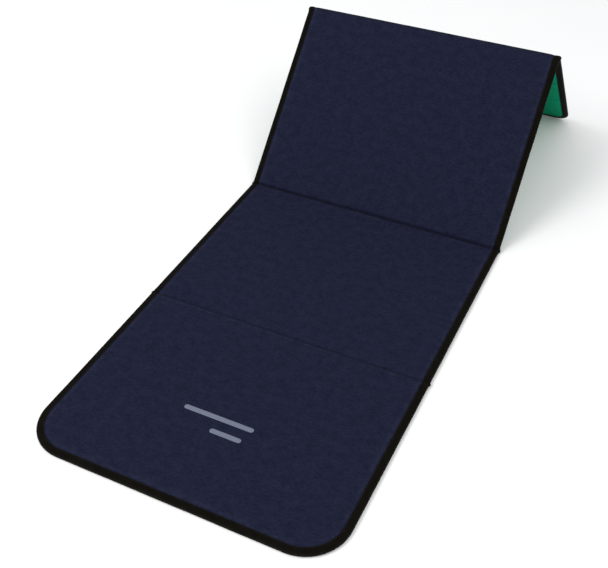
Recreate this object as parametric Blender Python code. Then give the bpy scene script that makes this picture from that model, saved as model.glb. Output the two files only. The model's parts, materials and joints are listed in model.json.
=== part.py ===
"""Folding exercise mat: four foam panels in one fabric cover with a taped edge, joined by three sewn folds.

Panels 1 and 2 lie flat. Panels 3 and 4 stand as a low tent on the far edge of panel 4.
The origin is on the floor under the middle of the mat, +Y runs from the front edge to the tent, +Z is up.
"""

import math

import bmesh
import bpy

# Driving dimensions, in metres
MAT_WIDTH = 0.600
PANEL_LENGTH = 0.433  # from one fold line to the next
FREE_END_CLEARANCE = 0.001  # panels 1 and 4 are cut this much shorter, so that they stack end to end
THICKNESS = 0.010
FRONT_CORNER_RADIUS = 0.083
FAR_CORNER_RADIUS = 0.035  # the far end is cut squarer than the front
RISE = math.radians(45)  # slope of panel 3

COVER_THICKNESS = 0.0007
TAPE_THICKNESS = 0.0006
TAPE_FACE = 0.014  # width of the edge tape on each face
TAPE_EDGE_RADIUS = 0.003
TAPE_BULGE = 0.0025  # the tape gathers outwards where it crosses a fold
THREAD_RADIUS = 0.00025
GAP = 0.0003  # between pieces that touch

AXIS_CLEARANCE = 0.0004  # the fold axes lie this far outside the faces that they close
FOLD_REACH = 0.006  # the fabric over a fold reaches this far onto each panel
FOLD_DIP = 0.0015  # the sewn line draws the cover down
FOLD_DIP_REACH = 0.004

MARK_BARS = (("printed_bar_long", -0.006, 0.191, 0.140), ("printed_bar_short", 0.024, 0.161, 0.062))
MARK_HEIGHT = 0.010
MARK_THICKNESS = 0.0002

ARC_STEPS = 9
SECTION_STEPS = 4
FOLD_STEPS = 6

# Derived dimensions
HALF_WIDTH = MAT_WIDTH / 2
FREE_LENGTH = PANEL_LENGTH - FREE_END_CLEARANCE
SEAM_STEP = TAPE_THICKNESS + GAP  # the covers are pressed in this far under the tape
COVER_EDGE = 0.0024  # inset of the covers' cut edge, inside the tape
SEAM_INSET = TAPE_FACE + 0.0012
CROWN_INSET = SEAM_INSET + 0.0033
FOLD_SEAM_INSET = FOLD_REACH + 0.002
FOLD_CROWN_INSET = FOLD_REACH + 0.005
FOAM_EDGE = 0.0015
FOAM_FOLD_EDGE = 0.001
FOAM_EDGE_HALF_HEIGHT = 0.001
STITCH_INSET = TAPE_FACE + GAP + 0.00045
STITCH_DEPTH = THREAD_RADIUS + 0.00005  # the thread lies just below the tape's face

FABRIC_NAVY = (0.020, 0.023, 0.052)
FABRIC_GREEN = (0.015, 0.150, 0.090)
TAPE_BLACK = (0.012, 0.011, 0.009)
THREAD_BLACK = (0.018, 0.017, 0.015)
FOAM_GREY = (0.300, 0.300, 0.310)
INK_GREY = (0.300, 0.330, 0.380)


def descent_angle():
    """Slope of panel 4 that sets its far edge, rounded by the tape, on the floor."""
    crest = THICKNESS + AXIS_CLEARANCE + PANEL_LENGTH * math.sin(RISE)
    crest -= (THICKNESS + 2 * AXIS_CLEARANCE) * math.cos(RISE)
    along = FREE_LENGTH - TAPE_EDGE_RADIUS
    across = TAPE_EDGE_RADIUS + AXIS_CLEARANCE
    return math.asin((crest - TAPE_EDGE_RADIUS) / math.hypot(along, across)) + math.atan2(across, along)


def overall_length(descent):
    """From the front edge to the far side of panel 4."""
    flat = FREE_LENGTH + PANEL_LENGTH
    rising = PANEL_LENGTH * math.cos(RISE) + (THICKNESS + 2 * AXIS_CLEARANCE) * math.sin(RISE)
    falling = (FREE_LENGTH - TAPE_EDGE_RADIUS) * math.cos(descent)
    falling += (THICKNESS + AXIS_CLEARANCE - TAPE_EDGE_RADIUS) * math.sin(descent) + TAPE_EDGE_RADIUS
    return flat + rising + falling


def finish_of(name, colour, roughness):
    material = bpy.data.materials.new(name)
    material.use_nodes = True
    shader = material.node_tree.nodes["Principled BSDF"]
    shader.inputs["Base Color"].default_value = (*colour, 1)
    shader.inputs["Roughness"].default_value = roughness
    shader.inputs["Metallic"].default_value = 0
    return material


def add_to_mat(name, data, frame, colour, roughness=0.9):
    """An object in a panel's coordinates: X across, Y from the panel's fold axis, Z up from its underside."""
    data.materials.append(finish_of(name, colour, roughness))
    piece = bpy.data.objects.new(name, data)
    piece.parent = frame
    piece.location.z = -frame["axis_height"]
    mat_collection.objects.link(piece)
    return piece


def loft(name, rings, frame, colour, roughness=0.9):
    """A closed solid through rings of equally many points, capped at both ends."""
    mesh = bmesh.new()
    levels = [[mesh.verts.new(point) for point in ring] for ring in rings]
    count = len(rings[0])
    for low, high in zip(levels, levels[1:]):
        for i in range(count):
            j = (i + 1) % count
            mesh.faces.new((low[i], low[j], high[j], high[i]))
    mesh.faces.new(levels[0][::-1])
    mesh.faces.new(levels[-1])
    bmesh.ops.recalc_face_normals(mesh, faces=mesh.faces)
    data = bpy.data.meshes.new(name)
    mesh.to_mesh(data)
    mesh.free()
    data.shade_smooth()
    data.set_sharp_from_angle(angle=math.radians(35))
    return add_to_mat(name, data, frame, colour, roughness)


def thread(name, points, frame):
    """A sewing thread along a path."""
    curve = bpy.data.curves.new(name, "CURVE")
    curve.dimensions = "3D"
    curve.bevel_depth = THREAD_RADIUS
    curve.bevel_resolution = 1
    curve.use_fill_caps = True
    spline = curve.splines.new("POLY")
    spline.points.add(len(points) - 1)
    for target, point in zip(spline.points, points):
        target.co = (*point, 1)
    return add_to_mat(name, curve, frame, THREAD_BLACK, 0.7)


def arc(centre, radius, start, end, steps):
    """Points on an arc, with angles in degrees."""
    angles = [math.radians(start + (end - start) * i / steps) for i in range(steps + 1)]
    return [(centre[0] + radius * math.cos(a), centre[1] + radius * math.sin(a)) for a in angles]


def edge_path(inset, fold_inset, corner_radius):
    """The panel's outline in plan from fold to far end to fold, set in from its edge."""
    side = HALF_WIDTH - inset
    if not corner_radius:
        far = PANEL_LENGTH - fold_inset
        return [(side, fold_inset), (side, far), (-side, far), (-side, fold_inset)]
    x, y, radius = HALF_WIDTH - corner_radius, FREE_LENGTH - corner_radius, corner_radius - inset
    corners = arc((x, y), radius, 0, 90, ARC_STEPS) + arc((-x, y), radius, 90, 180, ARC_STEPS)
    return [(side, fold_inset), *corners, (-side, fold_inset)]


def plan_ring(panel, inset, fold_inset, height):
    path = edge_path(inset, fold_inset, panel["corner_radius"])
    return [(x, panel["direction"] * y, height) for x, y in path]


def foam_core(panel):
    """A foam slab, pinched along its edges where the cover is sewn down."""
    middle = THICKNESS / 2
    crown = middle - COVER_THICKNESS - GAP
    seam = crown - SEAM_STEP
    half = (
        (CROWN_INSET, FOLD_CROWN_INSET, crown),
        (SEAM_INSET, FOLD_SEAM_INSET, seam),
        (FOAM_EDGE, FOAM_FOLD_EDGE, FOAM_EDGE_HALF_HEIGHT),
    )
    levels = [(side, fold, middle - h) for side, fold, h in half]
    levels += [(side, fold, middle + h) for side, fold, h in reversed(half)]
    rings = [plan_ring(panel, *level) for level in levels]
    loft(f"foam_core_{panel['number']}", rings, panel["frame"], FOAM_GREY)


def cover(panel, name, top, colour):
    """A fabric face, level in the middle and pressed in where the tape and the folds hold it."""
    outer = (
        (CROWN_INSET, FOLD_CROWN_INSET, 0),
        (SEAM_INSET, FOLD_SEAM_INSET, SEAM_STEP),
        (COVER_EDGE, FOLD_REACH + GAP, SEAM_STEP),
    )
    depths = [(side, fold, depth + COVER_THICKNESS) for side, fold, depth in outer]
    depths += list(reversed(outer))
    rings = [plan_ring(panel, side, fold, THICKNESS - d if top else d) for side, fold, d in depths]
    loft(f"{name}_{panel['number']}", rings, panel["frame"], colour)


def tape_section():
    """The edge tape's C section, as (inset, height) from the mat's edge and underside."""
    r, t, top = TAPE_EDGE_RADIUS, TAPE_THICKNESS, THICKNESS
    outside = arc((r, top - r), r, 90, 180, SECTION_STEPS) + arc((r, r), r, 180, 270, SECTION_STEPS)
    inside = arc((r, r), r - t, 270, 180, SECTION_STEPS)
    inside += arc((r, top - r), r - t, 180, 90, SECTION_STEPS)
    return [(TAPE_FACE, top), *outside, (TAPE_FACE, 0), (TAPE_FACE, t), *inside, (TAPE_FACE, top - t)]


def split_sides(panel, path):
    """The whole path round a free end, or the right and left sides of a middle panel."""
    if panel["corner_radius"]:
        return {"": path}
    return {"_right": path[:2], "_left": path[2:]}


def edge_binding(panel):
    """Folded tape round the panel's edge."""
    reach = FOLD_REACH + GAP
    rings = []
    for inset, height in tape_section():
        path = edge_path(inset, reach, panel["corner_radius"])
        rings.append([(x, panel["direction"] * y, height) for x, y in path])
    stations = [list(station) for station in zip(*rings)]
    for side, part in split_sides(panel, stations).items():
        loft(f"edge_binding_{panel['number']}{side}", part, panel["frame"], TAPE_BLACK)


def edge_stitching(panel):
    """The thread rows that hold the tape, one on each face."""
    path = edge_path(STITCH_INSET, FOLD_REACH + GAP, panel["corner_radius"])
    for face, height in (("top", THICKNESS - STITCH_DEPTH), ("under", STITCH_DEPTH)):
        for side, part in split_sides(panel, path).items():
            points = [(x, panel["direction"] * y, height) for x, y in part]
            thread(f"edge_stitching_{face}_{panel['number']}{side}", points, panel["frame"])


def fold_stations(bend):
    """Across a fold: (distance from the axis along the panel, angle turned), the bend being in the middle."""
    before = [(-FOLD_REACH, 0), (-FOLD_DIP_REACH, 0)]
    steps = FOLD_STEPS if bend else 0
    middle = [(0, bend * i / steps) for i in range(steps + 1)] if steps else [(0, 0)]
    after = [(FOLD_DIP_REACH, bend), (FOLD_REACH, bend)]
    return before + middle + after


def fold_point(fold, x, height, station):
    """A point at a height above the underside, carried round the fold's axis."""
    along, angle = station
    rise = height - fold["axis_height"]
    y = fold["position"] + along * math.cos(angle) - rise * math.sin(angle)
    z = fold["axis_height"] + along * math.sin(angle) + rise * math.cos(angle)
    return (x, y, z)


def dip_at(fold, height, station):
    """How far the sewn line draws the cover in at a station."""
    along, angle = station
    radius = abs(height - fold["axis_height"])
    distance = abs(along) + radius * abs(angle - fold["bend"] / 2)
    return FOLD_DIP * max(0.0, 1 - distance / FOLD_DIP_REACH)


def fold_cover(fold, name, top, colour):
    """The strip of cover that bridges a fold, drawn in along the sewn line."""
    side = HALF_WIDTH - COVER_EDGE
    outer = THICKNESS - SEAM_STEP if top else SEAM_STEP
    inner = outer - COVER_THICKNESS if top else outer + COVER_THICKNESS
    inward = -1 if top else 1
    rings = []
    for station in fold_stations(fold["bend"]):
        dip = inward * dip_at(fold, outer, station)
        corners = ((side, outer), (-side, outer), (-side, inner), (side, inner))
        rings.append([fold_point(fold, x, height + dip, station) for x, height in corners])
    loft(f"{name}_{fold['number']}", rings, fold["frame"], colour)


def fold_binding(fold):
    """The edge tape where it crosses a fold, left and right."""
    for side, sign in (("left", -1), ("right", 1)):
        rings = []
        for along, angle in fold_stations(fold["bend"]):
            bulge = TAPE_BULGE * (1 - abs(along) / FOLD_REACH)
            rings.append([
                fold_point(fold, sign * (HALF_WIDTH + bulge - inset), height, (along, angle))
                for inset, height in tape_section()
            ])
        loft(f"fold_binding_{fold['number']}_{side}", rings, fold["frame"], TAPE_BLACK)


def fold_stitching(fold):
    """The sewn line along a fold, one thread on each face."""
    middle = (0, fold["bend"] / 2)
    reach = HALF_WIDTH - TAPE_FACE - GAP
    depth = SEAM_STEP + FOLD_DIP - GAP - THREAD_RADIUS
    for face, height in (("top", THICKNESS - depth), ("under", depth)):
        points = [fold_point(fold, x, height, middle) for x in (-reach, reach)]
        thread(f"fold_stitching_{face}_{fold['number']}", points, fold["frame"])


def printed_bar(panel, name, centre_x, from_front, length):
    """A plain printed bar with round ends, parallel to the front edge."""
    radius = MARK_HEIGHT / 2
    straight = length / 2 - radius
    outline = arc((straight, 0), radius, -90, 90, ARC_STEPS) + arc((-straight, 0), radius, 90, 270, ARC_STEPS)
    y = panel["direction"] * (FREE_LENGTH - from_front)
    low = THICKNESS + GAP
    rings = [[(centre_x + px, y + py, z) for px, py in outline] for z in (low, low + MARK_THICKNESS)]
    loft(name, rings, panel["frame"], INK_GREY, 0.6)


def panel_frame(name, parent, location, turn, axis_height):
    """An empty on a fold's axis, which carries a panel."""
    frame = bpy.data.objects.new(name, None)
    frame.parent = parent
    frame.location = location
    frame.rotation_euler.x = turn
    frame["axis_height"] = axis_height
    mat_collection.objects.link(frame)
    return frame


for leftover in list(bpy.data.objects):
    bpy.data.objects.remove(leftover, do_unlink=True)
mat_collection = bpy.data.collections.new("folding_mat")
bpy.context.scene.collection.children.link(mat_collection)

descent = descent_angle()
below, above = -AXIS_CLEARANCE, THICKNESS + AXIS_CLEARANCE
fold_1_y = FREE_LENGTH - overall_length(descent) / 2

frame_2 = panel_frame("panel_2_frame", None, (0, fold_1_y, below), 0, below)
frame_1 = panel_frame("panel_1_frame", frame_2, (0, 0, 0), 0, below)
frame_3 = panel_frame("panel_3_frame", frame_2, (0, PANEL_LENGTH, above - below), RISE, above)
frame_4 = panel_frame("panel_4_frame", frame_3, (0, PANEL_LENGTH, below - above), -RISE - descent, below)

# The middle panels have folds at both ends, and so no rounded corners
PANELS = (
    {"number": 1, "frame": frame_1, "direction": -1, "corner_radius": FRONT_CORNER_RADIUS},
    {"number": 2, "frame": frame_2, "direction": 1, "corner_radius": None},
    {"number": 3, "frame": frame_3, "direction": 1, "corner_radius": None},
    {"number": 4, "frame": frame_4, "direction": 1, "corner_radius": FAR_CORNER_RADIUS},
)
FOLDS = (
    {"number": 1, "frame": frame_2, "position": 0, "axis_height": below, "bend": 0},
    {"number": 2, "frame": frame_2, "position": PANEL_LENGTH, "axis_height": above, "bend": RISE},
    {"number": 3, "frame": frame_3, "position": PANEL_LENGTH, "axis_height": below, "bend": -RISE - descent},
)

for panel in PANELS:
    foam_core(panel)
    cover(panel, "top_cover", True, FABRIC_NAVY)
    cover(panel, "underside_cover", False, FABRIC_GREEN)
    edge_binding(panel)
    edge_stitching(panel)

for fold in FOLDS:
    fold_cover(fold, "fold_cover_top", True, FABRIC_NAVY)
    fold_cover(fold, "fold_cover_under", False, FABRIC_GREEN)
    fold_binding(fold)
    fold_stitching(fold)

for bar in MARK_BARS:
    printed_bar(PANELS[0], *bar)
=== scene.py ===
"""Looks of the folding exercise mat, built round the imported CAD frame.

The mat is worked out laid flat, in metres: x across, f along from the first fold (the front edge is at
negative f), and z up from the underside. at_rest() then bends it round the fold axes into its rest shape.
"""

import json
import math

import bpy
import numpy as np
from mathutils import Matrix, Vector


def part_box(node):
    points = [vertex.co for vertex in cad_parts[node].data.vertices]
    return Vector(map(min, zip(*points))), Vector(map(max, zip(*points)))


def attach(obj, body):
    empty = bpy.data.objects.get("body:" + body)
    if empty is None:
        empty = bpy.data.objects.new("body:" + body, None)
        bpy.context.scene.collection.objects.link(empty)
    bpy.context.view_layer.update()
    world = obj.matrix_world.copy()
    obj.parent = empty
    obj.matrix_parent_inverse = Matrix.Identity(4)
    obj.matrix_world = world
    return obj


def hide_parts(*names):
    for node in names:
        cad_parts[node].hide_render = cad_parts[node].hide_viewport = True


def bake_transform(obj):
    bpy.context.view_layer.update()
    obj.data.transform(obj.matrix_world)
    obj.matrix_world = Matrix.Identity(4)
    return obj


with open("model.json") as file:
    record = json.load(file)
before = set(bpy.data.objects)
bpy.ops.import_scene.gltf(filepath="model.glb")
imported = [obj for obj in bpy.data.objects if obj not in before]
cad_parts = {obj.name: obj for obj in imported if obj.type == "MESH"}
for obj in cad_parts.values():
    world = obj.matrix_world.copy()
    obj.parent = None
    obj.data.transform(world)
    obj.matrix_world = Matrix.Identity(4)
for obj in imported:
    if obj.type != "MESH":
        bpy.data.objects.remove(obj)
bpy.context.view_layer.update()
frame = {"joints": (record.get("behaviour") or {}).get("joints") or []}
scene = bpy.context.scene


def to_micron(length):
    """A length from the frame, whose coordinates are single precision."""
    return round(length, 6)


# The mat, from the CAD: panels 1 and 2 lie flat, and the joints give the folds' axes and their bend at rest
JOINTS = {int(joint["name"][-1]): joint for joint in frame["joints"]}
SIDE_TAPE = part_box("edge_binding_2_right")
HALF_WIDTH, THICKNESS = to_micron(SIDE_TAPE[1][0]), to_micron(SIDE_TAPE[1][2])
TAPE_FACE = to_micron(HALF_WIDTH - SIDE_TAPE[0][0])
FIRST_AXIS_Y = JOINTS[1]["pos_m"][1]
PANEL_LENGTH = to_micron(JOINTS[2]["pos_m"][1] - FIRST_AXIS_Y)
FREE_LENGTH = to_micron(FIRST_AXIS_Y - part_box("edge_binding_1")[0][1])
FOLD_F = {fold: (fold - 1) * PANEL_LENGTH for fold in JOINTS}
AXIS_Z = {1: JOINTS[1]["pos_m"][2], 2: JOINTS[2]["pos_m"][2], 3: JOINTS[1]["pos_m"][2]}  # laid flat
BEND = {fold: -joint["axis"][0] * math.radians(joint["range_deg"][0]) for fold, joint in JOINTS.items()}
CORNER_RADIUS = {1: 0.083, 4: 0.035}  # panel 4's end is cut squarer than the front
COVER_THICKNESS = 0.0006

# Shape of the soft surfaces
LEVEL = {"top": THICKNESS + 0.0001, "under": 0.00004}  # the crowns
INWARD = {"top": -1, "under": 1}
UP = {"top": 1, "under": -1}
SEAM_DEPTH = 0.0008  # the cover is pressed in beside the tape, steeply
PUCKER_DEPTH = 0.0005  # and more gently where the simulated cloth lies low
HIGHEST = THICKNESS + 0.00027
PUFF_START = TAPE_FACE + 0.0004
PUFF_REACH = 0.0036
PUFF_POWER = 1.2
FOLD_MARGIN = 0.014  # the strip over a fold reaches this far onto each panel
GROOVE_DEPTH = {1: 0.0028, 2: 0.0030, 3: 0.0015}
GROOVE_REACH = {1: 0.0031, 2: 0.0036, 3: 0.0026}
GROOVE_POWER = 2.2
GROOVE_LOST_AT_TAPE = 0.35  # the share of a groove's depth that the tape holds up
LIP_HEIGHT, LIP_PLACE, LIP_WIDTH = 0.00012, 0.0072, 0.0024  # beside a groove
RIPPLE_DEPTH, RIPPLE_LENGTH, RIPPLE_REACH = 0.00010, 0.011, 0.010  # along a groove
RIPPLE_SEED = {"top": 31, "under": 37}
PRESS_DEPTH, PRESS_PLACE, PRESS_WIDTH = 0.00014, 0.0115, 0.0010  # a faint pressed line behind fold 1
SWELLS = ((0.00009, 0.09, 0.09), (0.00004, 0.03, 0.035))  # depth, and size along x and f
SWELL_SEED = {"top": 11, "under": 17}

# The meshes' rows and columns
COVER_INSET = 0.0124  # the cover's cut edge, under the tape
FIRST_BAND, BAND_GROWTH, BANDS = 0.0006, 1.25, 10
BAND_INSETS = [COVER_INSET]  # then from the tape inwards, ever further apart
BAND_INSETS += [TAPE_FACE + FIRST_BAND * (BAND_GROWTH**k - 1) / (BAND_GROWTH - 1) for k in range(BANDS)]
CELL = 0.0040
FOLD_STEPS, FOLD_CROWDING = 16, 1.35
FOLD_ROWS = [FOLD_MARGIN * (k / FOLD_STEPS) ** FOLD_CROWDING for k in range(FOLD_STEPS, 0, -1)]
ARC_ROWS = {1: 0, 2: 10, 3: 20}  # across the bend
CORNER_STEPS = {1: 24, 4: 12}
INNER_COLUMNS = 132
TOUCH = 1e-6  # points this close to a line are on it


def smooth(t):
    t = np.clip(t, 0.0, 1.0)
    return t * t * (3 - 2 * t)


def bell(distance, width):
    """1 at no distance, falling off smoothly over the width."""
    return np.exp(-((distance / width) ** 2))


def lattice(ix, iy, seed):
    """A fixed random value from -1 to 1 at each whole-number point."""
    h = ix.astype(np.int64) * 374761393 + iy.astype(np.int64) * 668265263 + seed * 1442695041
    h = (h ^ (h >> 13)) * 1274126177
    h = (h ^ (h >> 16)) & 0xFFFFFF
    return h / float(0x7FFFFF) - 1.0


def wander(x, y, seed):
    """Smooth noise from about -1 to 1, with features about one unit across."""
    x, y = np.broadcast_arrays(np.asarray(x, float), np.asarray(y, float))
    ix, iy = np.floor(x), np.floor(y)
    u, v = smooth(x - ix), smooth(y - iy)
    low = lattice(ix, iy, seed) * (1 - u) + lattice(ix + 1, iy, seed) * u
    high = lattice(ix, iy + 1, seed) * (1 - u) + lattice(ix + 1, iy + 1, seed) * u
    return low * (1 - v) + high * v


def edge_distance(x, f):
    """How far a point lies in from the mat's outline."""
    side = HALF_WIDTH - np.abs(x)
    end = np.minimum(f + FREE_LENGTH, FOLD_F[3] + FREE_LENGTH - f)
    radius = np.where(np.asarray(f) < FOLD_F[2], CORNER_RADIUS[1], CORNER_RADIUS[4])
    dx, df = radius - side, radius - end
    in_corner = (dx > 0) & (df > 0)
    return np.where(in_corner, radius - np.hypot(dx, df), np.minimum(side, end))


def ways_along(f):
    """Distances on the panels to each fold's sewn line."""
    return {fold: np.abs(f - line) for fold, line in FOLD_F.items()}


def seam_distance(x, f):
    """Distance from the nearest fold line or edge tape."""
    return np.minimum.reduce([edge_distance(x, f) - PUFF_START, *ways_along(f).values()])


def with_zeros(a, b):
    """Rows of (a, b, 0)."""
    return np.stack([a, b, np.zeros(len(a))], axis=1)


def grid_faces(rows, columns):
    """Faces of a grid whose vertices run along its rows."""
    a = (np.arange(rows - 1)[:, None] * columns + np.arange(columns - 1)[None, :]).ravel()
    return np.stack([a, a + 1, a + columns + 1, a + columns], axis=1)


def end_rows(columns, count):
    """The vertices of a grid's first and last row."""
    return np.concatenate([np.arange(columns), np.arange(count - columns, count)])


def new_object(name, data):
    made = bpy.data.objects.new(name, data)
    scene.collection.objects.link(made)
    return made


# The covers billow between their seams. One cloth simulation for each face gives the shape.
SIM_COLUMNS, SIM_PANEL_ROWS, SIM_STEPS = 73, 52, 20
SIM_CELL = 2 * HALF_WIDTH / (SIM_COLUMNS - 1)
SIM_HOLD = 0.001  # points this near a seam are held
GRID_END = 1.001  # keeps places short of the grid's last row and column
FIRST_WAVE_HEIGHT, FIRST_WAVE_SIZE = 0.0004, 0.05
COVER_SEEDS = {"top": 3, "under": 8}


def simulate_cover(name, seed):
    """Inflates a cover held along the tape and the three folds. Returns its rows' f and its rise."""
    ends = (-FREE_LENGTH, *FOLD_F.values(), FOLD_F[3] + FREE_LENGTH)
    panels = [np.linspace(a, b, SIM_PANEL_ROWS, endpoint=False) for a, b in zip(ends, ends[1:])]
    rows = np.concatenate([*panels, ends[-1:]])
    columns = np.linspace(-HALF_WIDTH, HALF_WIDTH, SIM_COLUMNS)
    x, f = np.meshgrid(columns, rows)
    z = FIRST_WAVE_HEIGHT * wander(x / FIRST_WAVE_SIZE, f / FIRST_WAVE_SIZE, seed)
    points = np.stack([x, f, z], axis=-1).reshape(-1, 3)
    mesh = bpy.data.meshes.new(name)
    mesh.from_pydata(points.tolist(), [], grid_faces(*x.shape).tolist())
    sheet = new_object(name, mesh)
    held = seam_distance(x, f) < SIM_HOLD
    group = sheet.vertex_groups.new(name="held")
    group.add(np.flatnonzero(held).tolist(), 1.0, "REPLACE")
    cloth = sheet.modifiers.new("Cloth", "CLOTH")
    settings = cloth.settings
    settings.quality = 4
    settings.mass = 0.25
    settings.tension_stiffness = 12
    settings.compression_stiffness = 12
    settings.shear_stiffness = 4
    settings.bending_stiffness = 0.3
    settings.shrink_min = -0.006  # the cover has a little slack
    settings.use_pressure = True
    settings.uniform_pressure_force = 4
    settings.effector_weights.gravity = 0
    settings.vertex_group_mass = "held"
    cloth.collision_settings.use_collision = False
    cloth.point_cache.frame_start = 1
    cloth.point_cache.frame_end = SIM_STEPS
    for step in range(1, SIM_STEPS + 1):
        scene.frame_set(step)
    graph = bpy.context.evaluated_depsgraph_get()
    moved = np.empty(len(points) * 3)
    sheet.evaluated_get(graph).data.vertices.foreach_get("co", moved)
    rise = moved.reshape(*x.shape, 3)[:, :, 2]
    scene.frame_set(1)
    bpy.data.objects.remove(sheet, do_unlink=True)
    bpy.data.meshes.remove(mesh)
    return rows, np.abs(rise)


billow = {}
billow = {face: simulate_cover(f"billow_{face}", seed) for face, seed in COVER_SEEDS.items()}

BILLOW_STOP = 0.0024  # the foam takes up a simulated rise beyond about this
QUICK_SLACK_REACH = 0.012  # how far slack reaches where the simulation is skipped


def spline_weights(t):
    """Weights of a cubic B-spline's four neighbours."""
    return ((1 - t) ** 3 / 6, (3 * t**3 - 6 * t**2 + 4) / 6, (-3 * t**3 + 3 * t**2 + 3 * t + 1) / 6, t**3 / 6)


def slack_at(face, x, f):
    """1 at the seams, falling to 0 where the foam fills the cover."""
    if face not in billow:
        return np.exp(-np.maximum(seam_distance(x, f), 0) / QUICK_SLACK_REACH)
    rows, rise = billow[face]
    column = np.clip((x + HALF_WIDTH) / SIM_CELL, 0, SIM_COLUMNS - GRID_END)
    row = np.clip(np.interp(f, rows, np.arange(len(rows))), 0, len(rows) - GRID_END)
    i, j = np.floor(row).astype(int), np.floor(column).astype(int)
    total = np.zeros(np.shape(row))
    for a, weight_a in enumerate(spline_weights(row - i)):
        at_row = np.clip(i + a - 1, 0, len(rows) - 1)
        for b, weight_b in enumerate(spline_weights(column - j)):
            at_column = np.clip(j + b - 1, 0, SIM_COLUMNS - 1)
            total += weight_a * weight_b * rise[at_row, at_column]
    return np.exp(-total / BILLOW_STOP)


def groove(fold, distance):
    """Depth of the sewn line's groove, with a soft lip on each side."""
    depth = GROOVE_DEPTH[fold] * np.exp(-((distance / GROOVE_REACH[fold]) ** GROOVE_POWER))
    return depth - LIP_HEIGHT * bell(distance - LIP_PLACE, LIP_WIDTH)


def surface_height(face, x, f, distances=None):
    """Height of a cover above the underside's plane. distances gives the way along the cover to each fold."""
    puff = 1 - np.exp(-((np.maximum(edge_distance(x, f) - PUFF_START, 0) / PUFF_REACH) ** PUFF_POWER))
    depth = SEAM_DEPTH * (1 - puff) + PUCKER_DEPTH * slack_at(face, x, f)
    for fold, away in (distances or ways_along(f)).items():
        ripple = wander(x / RIPPLE_LENGTH, 5.0 * fold, RIPPLE_SEED[face])
        depth = depth + groove(fold, away) * (1 - GROOVE_LOST_AT_TAPE * (1 - puff))
        depth = depth + RIPPLE_DEPTH * bell(away, RIPPLE_REACH) * ripple * puff
    if face == "top":
        depth = depth + PRESS_DEPTH * bell(f - PRESS_PLACE, PRESS_WIDTH) * puff
    for i, (swell, size_x, size_f) in enumerate(SWELLS):
        depth = depth + swell * wander(x / size_x, f / size_f, SWELL_SEED[face] + i) * puff
    height = LEVEL[face] + INWARD[face] * depth
    return np.clip(height, LEVEL["under"], HIGHEST)


def full_turn(f):
    """The share of each fold's bend that the panels' points have taken."""
    return {fold: (np.asarray(f) > FOLD_F[fold]).astype(float) for fold in (2, 3)}


def panel_turn(number, count):
    """The same for count points of one panel."""
    return {fold: np.full(count, float(number > fold)) for fold in (2, 3)}


def at_rest(x, f, z, turn):
    """Points in the frame, from the mat laid flat."""
    x, y, z = (np.array(values, float) for values in np.broadcast_arrays(x, f, z))
    for fold in (3, 2):
        angle = BEND[fold] * turn[fold]
        along, rise = y - FOLD_F[fold], z - AXIS_Z[fold]
        y = FOLD_F[fold] + along * np.cos(angle) - rise * np.sin(angle)
        z = AXIS_Z[fold] + along * np.sin(angle) + rise * np.cos(angle)
    return np.stack([x, y + FIRST_AXIS_Y, z], axis=-1)


def cloth_length(face, f, turn):
    """Distance along a cover, which is longer than the flat mat where it goes round a fold."""
    return f + sum(abs((LEVEL[face] - AXIS_Z[fold]) * BEND[fold]) * turn[fold] for fold in (2, 3))


# Meshes
SHARP_ANGLE = math.radians(62)


def add_piece(name, points, faces, flat, material, replaced, wear=None, normals=None):
    """A mesh piece. Its material reads flat, the cloth's own coordinates, and normals fixes some shading."""
    mesh = bpy.data.meshes.new(name)
    mesh.from_pydata(points.tolist(), [], [face.tolist() for face in faces])
    mesh.materials.append(material)
    # the per-point attribute carries rub, a painted highlight on the folds' lips and the tape's outer bend,
    # and painted shade in the creases
    attributes = (("flat", "FLOAT_VECTOR", "vector", flat), ("wear", "FLOAT", "value", wear))
    for key, kind, field, values in attributes:
        if values is not None:
            mesh.attributes.new(key, kind, "POINT").data.foreach_set(field, values.astype(np.float32).ravel())
    turn_outward(mesh)
    mesh.shade_smooth()
    mesh.set_sharp_from_angle(angle=SHARP_ANGLE)
    if normals is not None:
        fixed, vectors, first_faces = normals
        lookup = np.zeros((len(points), 3))
        lookup[fixed] = vectors
        corner_vertex = np.empty(len(mesh.loops), np.int32)
        mesh.loops.foreach_get("vertex_index", corner_vertex)
        chosen = lookup[corner_vertex]
        chosen[4 * first_faces:] = 0  # all faces have four corners, and the outer ones come first
        mesh.normals_split_custom_set(chosen.tolist())
    piece = new_object(name, mesh)
    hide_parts(*replaced)
    return piece


def turn_outward(mesh):
    """Flips a closed mesh whose faces look inwards."""
    points, corners = np.empty(3 * len(mesh.vertices)), np.empty(3 * len(mesh.loop_triangles), np.int32)
    mesh.vertices.foreach_get("co", points)
    mesh.loop_triangles.foreach_get("vertices", corners)
    a, b, c = points.reshape(-1, 3)[corners.reshape(-1, 3)].transpose(1, 0, 2)
    if np.einsum("ij,ij->i", a, np.cross(b, c)).sum() < 0:
        mesh.flip_normals()


def shell(outer, inner, faces):
    """A thin closed skin between two matching surfaces."""
    n = len(outer)
    sides = np.concatenate([np.stack([faces[:, i], faces[:, (i + 1) % 4]], axis=1) for i in range(4)])
    forward, backward = sides[:, 0] * n + sides[:, 1], sides[:, 1] * n + sides[:, 0]
    rim = sides[~np.isin(forward, backward)]
    rim_faces = np.stack([rim[:, 1], rim[:, 0], rim[:, 0] + n, rim[:, 1] + n], axis=1)
    return np.concatenate([outer, inner]), np.concatenate([faces, faces[:, ::-1] + n, rim_faces])


def tube(stations, count):
    """Faces of a sweep through stations of count section points, with its ends capped."""
    start, point = count * np.arange(stations - 1)[:, None], np.arange(count)
    a, b = start + point, start + (point + 1) % count
    ends = [np.arange(count)[::-1], (stations - 1) * count + np.arange(count)]
    return list(np.stack([a, b, b + count, a + count], axis=-1).reshape(-1, 4)) + ends


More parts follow.
